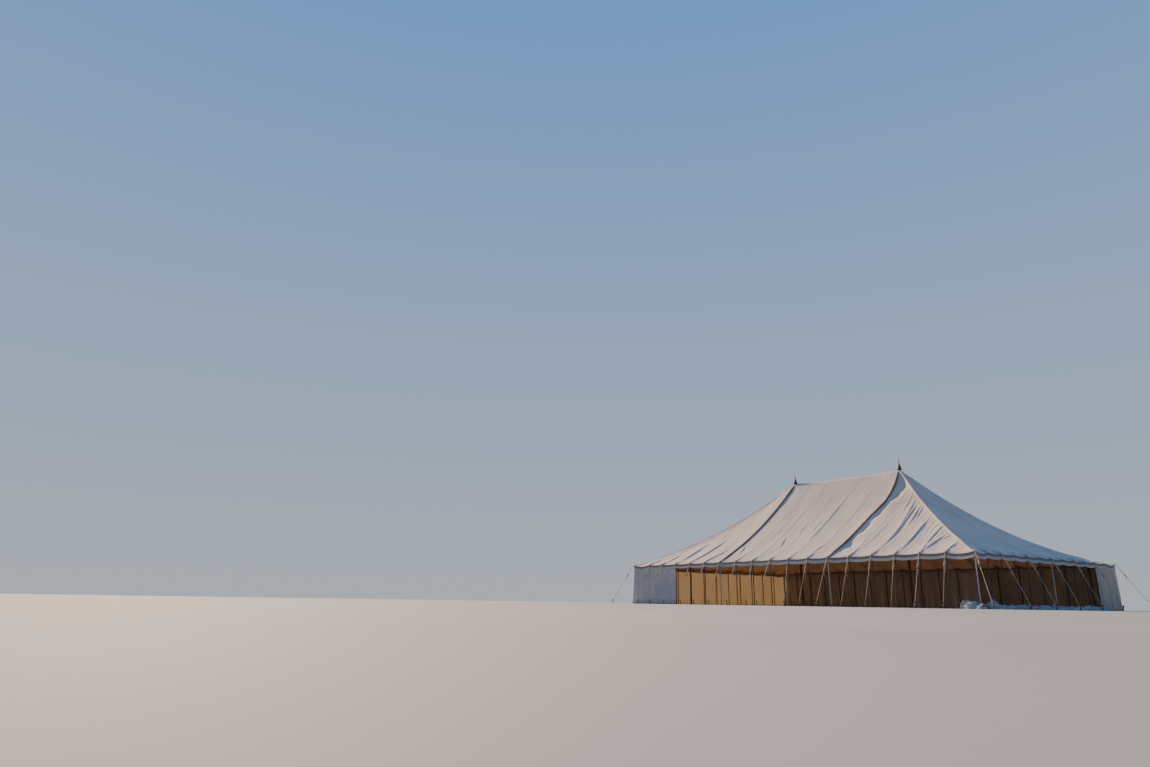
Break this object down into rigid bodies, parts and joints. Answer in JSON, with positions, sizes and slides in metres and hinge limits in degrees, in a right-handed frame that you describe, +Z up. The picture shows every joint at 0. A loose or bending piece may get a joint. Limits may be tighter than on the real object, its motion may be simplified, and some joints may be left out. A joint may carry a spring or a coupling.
{
  "type": "pole marquee tent",
  "caption": "Long pole marquee with a laced canvas roof over king poles, side poles, guy ropes with stakes, a valance and canvas walls on part of its sides.",
  "frame": {"origin": "on the ground under the middle of the ridge, at the middle of the base", "axes": "+X along the ridge towards the fully open end, -Y towards the open long side, +Z up"},
  "size_m": [19.9584, 14.0282, 6.7403],
  "materials": {
    "roof_canvas": "woven cotton canvas, weathered cream",
    "wall_canvas": "woven cotton canvas, grey white",
    "pole_wood": "turned softwood, dark and weathered",
    "king_pole_wood": "turned softwood",
    "guy_rope": "laid natural fibre",
    "finial_metal": "dark satin"
  },
  "bodies": {
    "root": {"corner_guy_back_left": "guy_rope", "corner_guy_back_right": "guy_rope", "corner_guy_front_left": "guy_rope", "corner_guy_front_right": "guy_rope", "corner_pole_back_left": "pole_wood", "corner_pole_back_right": "pole_wood", "corner_pole_front_left": "pole_wood", "corner_pole_front_right": "pole_wood", "dropped_wall": "wall_canvas", "finial_left": "finial_metal", "finial_right": "finial_metal", "guys_back_left": "guy_rope", "guys_back_middle": "guy_rope", "guys_back_right": "guy_rope", "guys_front_left": "guy_rope", "guys_front_middle": "guy_rope", "guys_front_right": "guy_rope", "guys_left_back": "guy_rope", "guys_left_front": "guy_rope", "guys_right_back": "guy_rope", "guys_right_front": "guy_rope", "king_pole_left": "king_pole_wood", "king_pole_right": "king_pole_wood", "ridge_rope": "guy_rope", "roof_left_back": "roof_canvas", "roof_left_front": "roof_canvas", "roof_middle": "roof_canvas", "roof_right_back": "roof_canvas", "roof_right_front": "roof_canvas", "side_poles_back_left": "pole_wood", "side_poles_back_middle": "pole_wood", "side_poles_back_right": "pole_wood", "side_poles_front_left": "pole_wood", "side_poles_front_middle": "pole_wood", "side_poles_front_right": "pole_wood", "side_poles_left_back": "pole_wood", "side_poles_left_front": "pole_wood", "side_poles_right_back": "pole_wood", "side_poles_right_front": "pole_wood", "valance_back": "roof_canvas", "valance_front": "roof_canvas", "valance_left": "roof_canvas", "valance_right": "roof_canvas", "wall_back_left": "wall_canvas", "wall_back_middle": "wall_canvas", "wall_back_right": "wall_canvas", "wall_front_panel": "wall_canvas", "wall_left_back": "wall_canvas", "wall_left_front": "wall_canvas", "wall_right_panel": "wall_canvas"}
  },
  "joints": []
}
